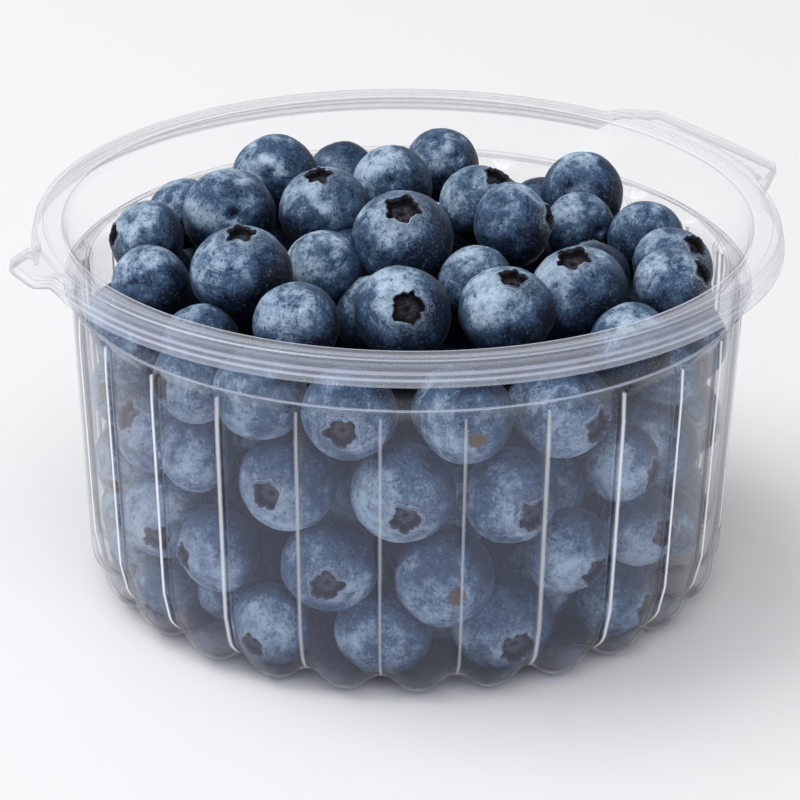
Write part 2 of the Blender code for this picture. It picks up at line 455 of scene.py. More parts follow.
def ribs_tree():
    """Presses the upright ribs into the turned sheet, and gathers its steps close to them."""
    tree, inputs, outputs = geometry_tree("press ribs", rib_sizes())
    size = inputs.outputs
    calc = partial(sum_node, tree)

    def length(a, b):
        return calc("SQRT", calc("ADD", calc("MULTIPLY", a, a), calc("MULTIPLY", b, b)))

    def parts(kind):
        return add_node(tree, "ShaderNodeSeparateXYZ", {0: tree.nodes.new(kind).outputs[0]}).outputs

    x, y, height = parts("GeometryNodeInputPosition")
    facing_x, facing_y, facing_up = parts("GeometryNodeInputNormal")
    radius = length(x, y)
    out = length(facing_x, facing_y)
    pitch = calc("DIVIDE", math.tau, size["Ribs"])
    turns = calc("DIVIDE", calc("SUBTRACT", calc("ARCTAN2", y, x), size["Turn"]), pitch)
    nearest = calc("ROUND", turns)
    off = calc("SUBTRACT", turns, nearest)
    bend = calc("MULTIPLY_ADD", calc("MULTIPLY", off, off), 2.6, 0.35)
    on_wall = ramp_node(tree, height, size["Shoulder"], size["Wall Top"])
    gathered = calc("MULTIPLY", off, calc("MULTIPLY_ADD", calc("SUBTRACT", bend, 1.0), on_wall, 1.0))
    away = calc("MULTIPLY", calc("ABSOLUTE", gathered), pitch)

    # The lobes' top corners are round, so a rib is wider there
    from_top = calc("MAXIMUM", calc("SUBTRACT", size["Wall Top"], height), 0.0)
    rest = calc("MAXIMUM", calc("SUBTRACT", size["Top Corner"], from_top), 0.0)
    square = calc("MULTIPLY", size["Top Corner"], size["Top Corner"])
    chord = calc("SQRT", calc("SUBTRACT", square, calc("MULTIPLY", rest, rest)))
    corner = calc("DIVIDE", calc("SUBTRACT", size["Top Corner"], chord), radius)

    # On the wall a narrow groove with one sharp fold in it, at the foot a broad smooth dip
    inside = calc("MAXIMUM", calc("SUBTRACT", away, corner), 0.0)
    groove = calc("MAXIMUM", calc("SUBTRACT", 1.0, calc("DIVIDE", inside, size["Half Width"])), 0.0)
    groove = calc("POWER", groove, 1.5)
    dip = ramp_node(tree, away, size["Foot Half Mouth"], size["Foot Half Bed"])
    at_foot = ramp_node(tree, height, size["Flare Height"], 0.001)
    share = calc("MULTIPLY_ADD", calc("SUBTRACT", dip, groove), at_foot, groove)
    deeper = calc("SUBTRACT", size["Foot Depth"], size["Depth"])
    depth = calc("MULTIPLY_ADD", deeper, at_foot, size["Depth"])
    past_floor = ramp_node(tree, radius, size["Floor Radius"], size["Foot Radius"], kind="LINEAR")
    push = calc("MULTIPLY", calc("MULTIPLY", depth, share), calc("MULTIPLY", on_wall, past_floor))
    azimuth = calc("MULTIPLY_ADD", calc("ADD", nearest, gathered), pitch, size["Turn"])
    inner = calc("SUBTRACT", radius, calc("MULTIPLY", push, out))
    moved = (
        calc("MULTIPLY", inner, calc("COSINE", azimuth)),
        calc("MULTIPLY", inner, calc("SINE", azimuth)),
        calc("SUBTRACT", height, calc("MULTIPLY", push, facing_up)),
    )
    place = add_node(tree, "ShaderNodeCombineXYZ", dict(enumerate(moved))).outputs[0]
    move = add_node(tree, "GeometryNodeSetPosition", {"Geometry": size["Geometry"], "Position": place})
    join(tree, move.outputs[0], outputs.inputs[0])
    return tree


def tab_radius(degrees):
    """How far the pull tab reaches this way, or 0 away from it: a slanted side, an edge, a steep side."""
    off = math.remainder(degrees - TAB_AZIMUTH_DEG, 360.0)
    if abs(off) > 20.0:
        return 0.0
    slanted = RIM_RADIUS + TAB_SLANTED_SIDE * (off + TAB_HALF_DEG)
    steep = RIM_RADIUS + TAB_STEEP_SIDE * (TAB_HALF_DEG - off)
    outer = TAB_REACH - TAB_LEAN * off
    rounded = sum(math.exp(-TAB_SHARPNESS * (reach - outer)) for reach in (slanted, steep, outer))
    return outer - math.log(rounded) / TAB_SHARPNESS


def flange_radius(degrees):
    """How far the lid's flange reaches this way, or 0 away from it."""
    off = math.radians(math.remainder(degrees - FLANGE_AZIMUTH_DEG, 360.0))
    if abs(off) > math.radians(40.0):
        return 0.0
    side = math.cos(off) * FLANGE_SIDE_SLOPE + abs(math.sin(off))
    to_side = (FLANGE_HALF_EDGE + FLANGE_SIDE_SLOPE * FLANGE_REACH) / side
    return min(FLANGE_REACH / math.cos(off), to_side)


def smooth_share(value, start, end):
    """Runs smoothly from 0 to 1 while the value goes from start to end."""
    share = min(max((value - start) / (end - start), 0.0), 1.0)
    return share * share * (3.0 - 2.0 * share)


def draw_out_rim(mesh):
    """Draws the tab and the flange out of the rim: the skirt opens into a plate with a folded lip."""
    under_rim = HEIGHT - SHEET
    low = HEIGHT - SKIRT_DROP
    root = RIM_RADIUS - SHEET
    for vert in mesh.vertices:
        radius = math.hypot(vert.co.x, vert.co.y) / MM
        height = vert.co.z / MM
        if radius < root - 0.45 or height < low - 0.1 or height > under_rim - 0.01:
            continue
        degrees = math.degrees(math.atan2(vert.co.y, vert.co.x))
        reach = max(tab_radius(degrees), flange_radius(degrees)) - SHEET
        opened = smooth_share(reach, root + 0.2, root + 2.8)
        if opened == 0.0:
            continue
        down = min(max((under_rim - height) / (under_rim - low), 0.0), 1.0)
        across = smooth_share(down, 0.0, 0.55)
        lip = smooth_share(down, 0.5, 1.0)
        plate_radius = root + (reach - root) * across + 0.15 * lip
        plate_height = under_rim - PLATE_LIP * lip
        new_radius = radius + (plate_radius - radius) * opened
        vert.co.xy *= new_radius / radius
        vert.co.z = (height + (plate_height - height) * opened) * MM


def folds_of(mesh):
    """How sharply the sheet bends at each point, in radians per mm."""
    folds = [0.0] * len(mesh.vertices)
    beside = {}
    for face in mesh.polygons:
        for edge in face.edge_keys:
            beside.setdefault(edge, []).append(face)
    for edge, faces in beside.items():
        if len(faces) == 2:
            apart = (faces[0].center - faces[1].center).length / MM
            fold = faces[0].normal.angle(faces[1].normal, 0.0) / max(apart, 0.05)
            for end in edge:
                folds[end] = max(folds[end], fold)
    return folds


def haze_and_highlight_at(height, radius, facing_up, bent):
    """How milky the sheet is: a little all over, more at the rim, and white lines at the shoulder and foot,
    partly stress whitening and partly painted highlight.
    """
    if height < SHOULDER_HEIGHT - 0.6:
        if height > FOOT_LINE_TOP or radius < FLOOR_RADIUS:
            return WALL_HAZE
        # Painted highlight along the foot's outline, partly stress whitening
        line = smooth_share(-facing_up, 0.66, 0.84) * smooth_share(-facing_up, 0.99, 0.95)
        return max(WALL_HAZE, FOOT_LINE_WHITE_AND_HIGHLIGHT * line)
    shoulder = smooth_share(height, SHOULDER_BEND_HEIGHT + 0.2, SHOULDER_BEND_HEIGHT - 0.2)
    rim = smooth_share(radius, RIM_INNER_RADIUS - 0.6, RIM_INNER_RADIUS)
    milky = SHOULDER_HAZE * shoulder + RIM_HAZE * rim
    return max(milky, FOLD_WHITE_AND_HIGHLIGHT * bent) if height < SHOULDER_HEIGHT + 0.3 else milky


def marks_at(vert, fold):
    """What the sheet's finish needs to know at one point: shares, and the place across the rim in mm."""
    x, y, height = vert.co / MM
    facing_up = vert.normal.z
    radius = max(math.hypot(x, y), 0.001)
    outward = vert.normal.x * x + vert.normal.y * y > 0.0
    bent = smooth_share(fold, FOLD_SOFT, FOLD_SHARP)
    neck = smooth_share(height, SHOULDER_HEIGHT - (0.4 if outward else 5.0), SHOULDER_HEIGHT)
    neck *= smooth_share(radius, RIM_INNER_RADIUS + 0.6, RIM_INNER_RADIUS)
    upright = smooth_share(height, WALL_TOP_HEIGHT, WALL_TOP_HEIGHT - 0.6)
    upright *= smooth_share(height, 1.5, 3.0)
    at_skirt = radius > RIM_RADIUS - 0.4
    on_top = height > HEIGHT - 0.4 and facing_up > 0.2
    on_skirt = at_skirt and (outward or facing_up > 0.2)
    on_rim = (on_top or on_skirt) and radius < RIM_RADIUS + 0.8
    sideways = smooth_share(abs(x) / radius, 0.15, 0.85)
    front = smooth_share(y, -15.0, -48.0)
    return {
        "haze_and_highlight": haze_and_highlight_at(height, radius, facing_up, bent),
        "shine": 1.0 - (1.0 - NECK_SHINE) * neck,
        "wall": upright,
        "ribbed": upright if outward else 0.0,
        "foot": smooth_share(height, 7.0, 2.0),
        # Painted highlight on the rim: stronger at its front and back
        "rim_highlit": 0.35 + 0.65 * smooth_share(abs(y) / radius, 0.0, 0.9) if on_rim else 0.0,
        "shaded": 1.0 - front if on_rim else 0.0,
        # Painted shade along the plates' folds
        "dark": PLATE_FOLD_SHADE * bent if radius > RIM_RADIUS + 1.5 else 0.0,
        "rim_place": min(radius, RIM_RADIUS) + (HEIGHT - height if at_skirt else 0.0),
        "sideways": sideways,
        "lean": math.copysign(sideways, x * y),
        "front": front,
    }


def mark_sheet(mesh):
    """Writes on each point of the sheet what its finish reads."""
    marks = [marks_at(vert, fold) for vert, fold in zip(mesh.vertices, folds_of(mesh))]
    for label in marks[0]:
        write_marks(mesh, label, [mark[label] for mark in marks])


def build_tub(finish):
    """The tub: its line turned about the axis, ribs pressed in, tab and flange drawn out, one sheet."""
    mesh = bpy.data.meshes.new("tub_sheet")
    ahead = Matrix.Rotation(math.radians(RIB_TURN_DEG), 3, "Z")
    corners = [ahead @ Vector((p.x, 0.0, p.y)) * MM for p in evened(tub_line(), LONGEST_STRETCH)]
    mesh.from_pydata(corners, [(i, i + 1) for i in range(len(corners) - 1)], [])
    tub = new_object("tub_sheet", mesh)
    turn = tub.modifiers.new("turn", "SCREW")
    turn.steps = turn.render_steps = RIBS * STEPS_PER_RIB
    turn.use_merge_vertices = True
    turn.merge_threshold = 0.00001
    add_nodes_modifier(tub, ribs_tree(), rib_sizes())
    apply_modifiers(tub)
    draw_out_rim(tub.data)
    sheet = tub.modifiers.new("sheet", "SOLIDIFY")
    sheet.thickness = SHEET * MM
    sheet.offset = -1.0
    sheet.use_even_offset = False
    apply_modifiers(tub)
    tub.data.shade_smooth()
    tub.data.set_sharp_from_angle(angle=math.radians(50.0))
    tub.data.materials.clear()
    tub.data.materials.append(finish)
    mark_sheet(tub.data)
    return tub


# ---- The fruit ----


def body_height(radius):
    """How high the fruit's skin stands at this share of its radius."""
    return FRUIT_FLATNESS * math.sqrt(max(0.0, 1.0 - radius * radius))


def crown_outline(rng):
    """The star-shaped hole of a crown: its radius and how high its dry flaps stand, by angle."""
    hole = rng.uniform(0.24, 0.31)
    flap = rng.uniform(0.03, 0.08)
    points = []
    for lobe in range(5):
        middle = math.tau * (lobe + rng.uniform(-0.1, 0.1)) / 5
        points.append((middle, rng.uniform(0.06, 0.32), math.radians(rng.uniform(13, 26))))
    drift = rng.uniform(0, 100)

    def at(angle):
        star = 0.0
        for middle, depth, half in points:
            off = math.remainder(angle - middle, math.tau)
            star = max(star, depth * max(0.0, 1.0 - (off / half) ** 2) ** 0.6)
        ragged = noise.noise(Vector((2.5 * math.cos(angle), 2.5 * math.sin(angle), drift)))
        torn = noise.noise(Vector((13 * math.cos(angle), 13 * math.sin(angle), drift)))
        stands = flap * (1.0 + 0.8 * torn) * (1.0 - 1.2 * min(star, 0.6))
        return hole * (1.0 + star + 0.2 * ragged + 0.2 * torn), max(stands, 0.0)

    return at


# Rings of the crown from its pit outward: share of the hole's radius, extra radius, height over
# the skin, how far it follows the flaps, and how much it is crown rather than skin; the deepest
# rings, above 0.9, take painted shade
CROWN_RINGS = (
    (0.12, 0.0, -0.17, 0.0, 1.0),
    (0.24, 0.0, -0.135, 0.0, 0.92),
    (0.52, 0.0, -0.12, 0.0, 0.9),
    (0.80, 0.0, -0.125, 0.0, 1.0),
    (0.94, 0.0, -0.06, 0.1, 1.0),
    (0.97, 0.0, 0.0, 0.8, 0.85),
    (0.98, 0.025, 0.012, 1.0, 0.6),
    (1.0, 0.055, 0.004, 0.75, 0.35),
    (1.0, 0.11, 0.008, 0.15, 0.12),
)
BODY_RING_DEGREES = (38, 50, 63, 76, 90, 104, 118, 132, 147, 163)
SCAR_RADIUS = 0.11


def ring_point(radius, angle, height):
    return Vector((radius * math.cos(angle), radius * math.sin(angle), height))


def ball_ring(degrees, sides):
    """A ring of points on a ball of radius 1, so many degrees from its top."""
    slant = math.radians(degrees)
    return [ring_point(math.sin(slant), math.tau * side / sides, math.cos(slant)) for side in range(sides)]


def fruit_mesh(name, seed):
    """One blueberry of radius 1, crown up: a crater with torn flaps, a soft body, and a stem scar."""
    rng = random.Random(seed)
    crown = crown_outline(rng)
    drift = Vector((rng.uniform(0, 50), rng.uniform(0, 50), rng.uniform(0, 50)))
    angles = [math.tau * side / FRUIT_SIDES for side in range(FRUIT_SIDES)]
    points = [Vector((0.0, 0.0, body_height(0.0) - 0.19))]
    crowned = [1.0]
    for share, extra, lift, follow, tone in CROWN_RINGS:
        for angle in angles:
            hole, flap = crown(angle)
            radius = (hole if share > 0.7 else 0.3) * share + extra
            base = body_height(0.3 + 0.6 * (radius - 0.3) if radius < 0.3 else radius)
            points.append(ring_point(radius, angle, base + lift + flap * follow))
            crowned.append(tone)
    for degrees in BODY_RING_DEGREES:
        for spot in ball_ring(degrees, FRUIT_SIDES):
            swell = 0.035 * noise.noise(spot * 1.1 + drift) + 0.012 * noise.noise(spot * 3.0 + drift)
            spot *= 1.0 + swell
            spot.z *= FRUIT_FLATNESS
            points.append(spot)
    unscarred = len(points)
    low = -body_height(0.0)
    for radius, sunk in ((SCAR_RADIUS, 0.0), (SCAR_RADIUS * 0.8, 0.03)):
        points += [ring_point(radius, angle, low + sunk) for angle in angles]
    points.append(Vector((0.0, 0.0, low + 0.025)))
    crowned += [0.0] * (len(points) - len(crowned))
    scars = [0.0] * unscarred + [1.0] * (len(points) - unscarred)
    mesh = bpy.data.meshes.new(name)
    mesh.from_pydata(points, [], ring_faces(len(points), FRUIT_SIDES))
    write_marks(mesh, "crown", crowned)
    write_marks(mesh, "scar", scars)
    write_marks(mesh, "on_fruit", [number for point in points for number in point], "FLOAT_VECTOR")
    mesh.shade_smooth()
    return mesh


def ring_faces(count, sides):
    """Faces of a closed form made of rings between a first and a last point, crown first."""
    rings = (count - 2) // sides
    faces = []
    for side in range(sides):
        beside = (side + 1) % sides
        faces.append((0, 1 + side, 1 + beside))
        for ring in range(rings - 1):
            low = 1 + ring * sides
            faces.append((low + side, low + sides + side, low + sides + beside, low + beside))
        last = 1 + (rings - 1) * sides
        faces.append((last + side, count - 1, last + beside))
    return faces


def inside_radius(height, degrees=None):
    """The tub's free inside radius at this height, less where the foot of a rib dips in."""
    foot = WALL_FOOT_RADIUS
    top = WALL_TOP_RADIUS - RIB_DEPTH
    free = foot + (top - foot) * min(height / WALL_TOP_HEIGHT, 1.0) - SHEET - WALL_GAP
    if degrees is None or height > RIB_FLARE_HEIGHT:
        return free
    pitch = 360.0 / RIBS
    off = (degrees - RIB_TURN_DEG) / pitch
    return free - 1.2 * smooth_share(abs(off - round(off)) * pitch, RIB_FOOT_HALF_MOUTH_DEG, 0.5)


def compass(turn_degrees, rise_degrees):
    """The direction that is this turn from the front and this far above level."""
    turn = math.radians(turn_degrees)
    rise = math.radians(rise_degrees)
    return Vector((math.sin(turn) * math.cos(rise), -math.cos(turn) * math.cos(rise), math.sin(rise)))


class Fruit:
    """One fruit: its centre, radius, the way its crown points, and whether its scar shows.

    It also says how freely it moves, and whether it lies at the wall under other fruit.
    """

    def __init__(self, centre, radius, crown, scarred=False, loose=FREE, walled=True):
        self.centre = centre
        self.radius = radius
        self.crown = crown
        self.scarred = scarred
        self.loose = loose
        self.walled = walled
        self.highest = centre.z + 1.0 if loose == FREE else math.inf

    def shift(self, push, eye):
        """Moves freely, or if it is listed fruit, mostly along the line of sight."""
        if self.loose == FREE:
            self.centre += push
            return
        sight = (self.centre - eye).normalized()
        along = push.dot(sight)
        slide = math.copysign(max(abs(along), 0.5 * push.length), along)
        self.centre += sight * slide + (push - sight * along) * 0.1

    def keep_inside(self):
        """Back inside the sheet, if it is past it."""
        self.centre.z = min(max(self.centre.z, SHEET + 0.1 + self.radius * 0.94), self.highest)
        flat = math.hypot(self.centre.x, self.centre.y)
        past_neck = self.centre.z > SHOULDER_HEIGHT - 1
        degrees = math.degrees(math.atan2(self.centre.y, self.centre.x))
        free = NECK_RADIUS - SHEET - 0.6 if past_neck else inside_radius(self.centre.z, degrees)
        if flat > free - self.radius:
            self.centre.xy *= (free - self.radius) / flat


def placed_fruit():
    """Every fruit that shows: listed at the front and on top, then in rows round the wall."""
    rng = random.Random(11)
    fruit = []
    for rows, walled in ((TOP_FRUIT, False), (WALL_FRUIT, True)):
        for x, y, z, size, *end in rows:
            scarred = "scar" in end
            if end:
                way = compass(*end[1:]) * (-1 if scarred else 1)
            else:
                way = compass(180 + rng.uniform(-40, 40), rng.uniform(-50, -10))
            fruit.append(Fruit(Vector((x, y, z)), size / 2, way, scarred, HELD, walled))
    for x, y, z, size in FILL_FRUIT:
        way = compass(180 + rng.uniform(-40, 40), rng.uniform(-30, 60))
        fruit.append(Fruit(Vector((x, y, z)), size / 2, way))
    for height, first, last, count, size in WALL_ROWS:
        for step in range(count):
            turn = first + (last - first) * step / (count - 1) + rng.uniform(-1.5, 1.5)
            radius = (size + rng.uniform(-1.3, 1.3)) / 2
            up = height + rng.uniform(-1.0, 1.0)
            centre = compass(turn, 0) * (inside_radius(up) - radius) + Vector((0, 0, up))
            way = compass(turn + rng.uniform(-60, 60), rng.uniform(-50, 50))
            if rng.random() >= 0.65:
                way = -way
            fruit.append(Fruit(centre, radius, way, rng.random() < 0.5))
    return fruit


def settle(fruit, rounds=60):
    """Moves fruit apart where it overlaps and back inside the sheet.

    Listed fruit keeps its place as seen from the front: it slides along the line of sight.
    """
    eye = Vector((0.0, -CAMERA_BACK, CAMERA_UP))
    for _ in range(rounds):
        for i, one in enumerate(fruit):
            for other in fruit[i + 1 :]:
                gap = other.centre - one.centre
                pressed = TOUCH if FREE in (one.loose, other.loose) else PLACED_TOUCH
                short = one.radius + other.radius - pressed - gap.length
                if short > 0:
                    push = gap.normalized() * short / (one.loose + other.loose)
                    one.shift(-push * one.loose, eye)
                    other.shift(push * other.loose, eye)
        for one in fruit:
            one.keep_inside()


def places_mesh(name, fruit, kinds, seed):
    """Points where the fruit goes, each with its fruit's turn, stretch, kind, tone and scar."""
    rng = random.Random(seed)
    mesh = bpy.data.meshes.new(name)
    mesh.from_pydata([one.centre * MM for one in fruit], [], [])
    turns, stretches, numbers, tones = [], [], [], []
    for one in fruit:
        spin = Matrix.Rotation(rng.uniform(0, math.tau), 3, "Z")
        turns += (one.crown.to_track_quat("Z", "Y").to_matrix() @ spin).to_euler()
        stretches += [one.radius * MM * rng.uniform(0.985, 1.015) for _axis in range(3)]
        numbers.append(rng.randrange(kinds))
        tones.append(rng.random())
    write_marks(mesh, "turn", turns, "FLOAT_VECTOR")
    write_marks(mesh, "stretch", stretches, "FLOAT_VECTOR")
    write_marks(mesh, "kind", numbers, "INT")
    write_marks(mesh, "tone", tones)
    write_marks(mesh, "scarred", [float(one.scarred) for one in fruit])
    write_marks(mesh, "walled", [float(one.walled) for one in fruit])
    return mesh


def heap_tree(name, shapes, finish):
    """Sets one of the shapes on each point, turned and stretched as the point says, as real mesh."""
    tree, inputs, outputs = geometry_tree(name, ("Size",))

    def mark(attribute, kind):
        node = add_node(tree, "GeometryNodeInputNamedAttribute", {"Name": attribute}, data_type=kind)
        return node.outputs["Attribute"]

    choice = {"Collection": shapes, "Separate Children": True, "Reset Children": True}
    bring = add_node(tree, "GeometryNodeCollectionInfo", choice)
    turned = add_node(tree, "FunctionNodeEulerToRotation", {0: mark("turn", "FLOAT_VECTOR")})
    stretch = {0: mark("stretch", "FLOAT_VECTOR"), "Scale": inputs.outputs["Size"]}
    points = add_node(tree, "GeometryNodeMeshToPoints", {"Mesh": inputs.outputs["Geometry"]})
    putting = {
        "Points": points.outputs[0],
        "Instance": bring.outputs[0],
        "Pick Instance": True,
        "Instance Index": mark("kind", "INT"),
        "Rotation": turned.outputs[0],
        "Scale": add_node(tree, "ShaderNodeVectorMath", stretch, operation="SCALE").outputs[0],
    }
    put = add_node(tree, "GeometryNodeInstanceOnPoints", putting)
    real = add_node(tree, "GeometryNodeRealizeInstances", {0: put.outputs[0]})
    coat = add_node(tree, "GeometryNodeSetMaterial", {"Geometry": real.outputs[0], "Material": finish})
    join(tree, coat.outputs[0], outputs.inputs[0])
    return tree


def build_heap(name, fruit, meshes, finish, seed):
    """Fruit of several shapes as one plain mesh."""
    shapes = bpy.data.collections.new(name + " shapes")
    for number, mesh in enumerate(meshes):
        shapes.objects.link(bpy.data.objects.new(f"{name}_{number:02d}", mesh))
    heap = new_object(name, places_mesh(name, fruit, len(meshes), seed))
    add_nodes_modifier(heap, heap_tree(name, shapes, finish), {"Size": 1.0})
    apply_modifiers(heap)
    heap.data.shade_smooth()
    for obj in list(shapes.objects):
        bpy.data.objects.remove(obj)
    bpy.data.collections.remove(shapes)
    return heap


def mark_painted_lit_side(mesh):
    """Marks how far each point faces the side that painted light makes paler."""
    painted_light_share = []
    for normal, walled in zip(mesh.vertex_normals, mesh.attributes["walled"].data):
        if walled.value > 0.5:
            painted_light_share.append(WALL_PAINTED_LIGHT * smooth_share(normal.vector.dot(WALL_PAINTED_LIGHT_SIDE), -0.75, 0.85))
        else:
            painted_light_share.append(smooth_share(normal.vector.dot(PAINTED_LIGHT_SIDE), -0.4, 0.98))
    write_marks(mesh, "painted_light_share", painted_light_share)


def inner_fruit(shown):
    """Fruit behind the layer that shows, where there is room: dark shapes in the gaps, in painted shade."""
    rng = random.Random(5)
    fruit = []
    for height, radius, count in INNER_ROWS:
        for step in range(count):
            size = rng.uniform(13.5, 15.5)
            turn = 360 * (step + rng.uniform(-0.1, 0.1)) / count + height * 7
            centre = compass(turn, 0) * radius + Vector((0, 0, height + rng.uniform(-1, 1)))
            way = compass(rng.uniform(0, 360), rng.uniform(-80, 80))
            if all((centre - one.centre).length > one.radius + size / 2 - 3.0 for one in shown):
                fruit.append(Fruit(centre, size / 2, way))
    return fruit


def build_core(finish):
    """A block of painted shade in the middle of the heap, low and round, that no gap sees past."""
    sides = 48
    points = [Vector((0, 0, CORE_TOP))]
    for inset, height in ((6.0, CORE_TOP), (0.0, CORE_TOP - 6.0), (0.0, CORE_FOOT + 3.0), (3.0, CORE_FOOT)):
        for side in range(sides):
            points.append(ring_point(CORE_RADIUS - inset, math.tau * side / sides, height))
    points.append(Vector((0, 0, CORE_FOOT)))
    mesh = bpy.data.meshes.new("core")
    mesh.from_pydata([point * MM for point in points], [], ring_faces(len(points), sides))
    mesh.materials.append(finish)
    return new_object("core", mesh)


def coarse_fruit_mesh(name):
    """A plain fruit of radius 1 and few faces, for the inner layer."""
    sides = 10
    points = [Vector((0, 0, FRUIT_FLATNESS - 0.12))]
    for degrees in (18, 35, 60, 90, 120, 150):
        for spot in ball_ring(degrees, sides):
            spot.z *= FRUIT_FLATNESS
            points.append(spot)
    points.append(Vector((0, 0, -FRUIT_FLATNESS)))
    mesh = bpy.data.meshes.new(name)
    mesh.from_pydata(points, [], ring_faces(len(points), sides))
    return mesh


# ---- Finishes ----


def new_finish(name):
    """A bare material. Gives it with its tree and its output."""
    finish = bpy.data.materials.new(name)
    finish.use_nodes = True
    finish.node_tree.nodes.clear()
    return finish, finish.node_tree, finish.node_tree.nodes.new("ShaderNodeOutputMaterial")


def plain_finish(name, kind, inputs):
    """A finish that is one shader of this kind."""
    finish, tree, output = new_finish(name)
    join(tree, add_node(tree, kind, inputs).outputs[0], output.inputs["Surface"])
    return finish


def mix_colour(tree, share, low, high):
    """Blends two colours by a share. Each is another node's output, or red, green and blue."""
    low, high = ((*colour, 1.0) if isinstance(colour, tuple) else colour for colour in (low, high))
    inputs = {"Factor": share, "A": low, "B": high}
    return add_node(tree, "ShaderNodeMix", inputs, data_type="RGBA").outputs["Result"]


def colour_ramp(tree, share, stops):
    """Turns a share into a colour. The stops are a place and a colour each, among them 0 and 1."""
    node = add_node(tree, "ShaderNodeValToRGB", {"Fac": share})
    ramp = node.color_ramp.elements
    for place, colour in stops:
        stop = ramp[0] if place == 0.0 else ramp[-1] if place == 1.0 else ramp.new(place)
        stop.color = (*colour, 1.0)
    return node.outputs["Color"]


def noise_node(tree, vector, scale, detail, roughness, distortion=0.0):
    inputs = {"Vector": vector, "Scale": scale, "Detail": detail, "Roughness": roughness}
    inputs["Distortion"] = distortion
    return add_node(tree, "ShaderNodeTexNoise", inputs).outputs["Fac"]


def named(tree, attribute, output="Fac"):
    """A value that the mesh carries."""
    return add_node(tree, "ShaderNodeAttribute", attribute_name=attribute).outputs[output]


def rib_bands(tree):
    """The painted highlight line and the painted shade band that each rib shows, as shares.

    Round the sides the painted highlight moves to a groove's far edge, and the painted shade fills the
    groove.
    """
    calc = partial(sum_node, tree)
    here = tree.nodes.new("ShaderNodeTexCoord").outputs["Object"]
    x, y, _height = add_node(tree, "ShaderNodeSeparateXYZ", {0: here}).outputs
    degree = RIBS / 360.0
    turns = calc("MULTIPLY_ADD", calc("ARCTAN2", y, x), RIBS / math.tau, -RIB_TURN_DEG * degree)
    off = calc("SUBTRACT", turns, calc("ROUND", turns))
    lean = named(tree, "lean")
    ribbed = named(tree, "ribbed")
    away = calc("ABSOLUTE", calc("MULTIPLY_ADD", lean, RIB_LINE_SHIFT_DEG * degree, off))
    wider = calc("MULTIPLY_ADD", named(tree, "sideways"), -0.45, 1.35)
    line = ramp_node(tree, calc("DIVIDE", away, wider), RIB_LINE_HALF_DEG * degree, 0.03 * degree)
    across = calc("ABSOLUTE", calc("MULTIPLY_ADD", lean, -RIB_BAND_SHIFT_DEG * degree, off))
    band = ramp_node(tree, across, RIB_BAND_HALF_DEG * degree, 0.3 * degree)
    return calc("MULTIPLY", line, ribbed), calc("MULTIPLY", band, ribbed)


def ring_lines(tree, lines, mask):
    """Lines round the rim and its skirt, as a share, where the named mask lets them show."""
    start = RIM_INNER_RADIUS - 1.0
    span = RIM_RADIUS + SKIRT_DROP + 0.5 - start
    stops = [(0.0, (0.0,) * 3), (1.0, (0.0,) * 3)]
    for place, half, share in lines:
        for off, white in ((-half, 0.0), (-0.25 * half, share), (0.25 * half, share), (half, 0.0)):
            stops.append(((place + off - start) / span, (white,) * 3))
    along = sum_node(tree, "MULTIPLY_ADD", named(tree, "rim_place"), 1 / span, -start / span)
    return sum_node(tree, "MULTIPLY", colour_ramp(tree, along, stops), named(tree, mask))


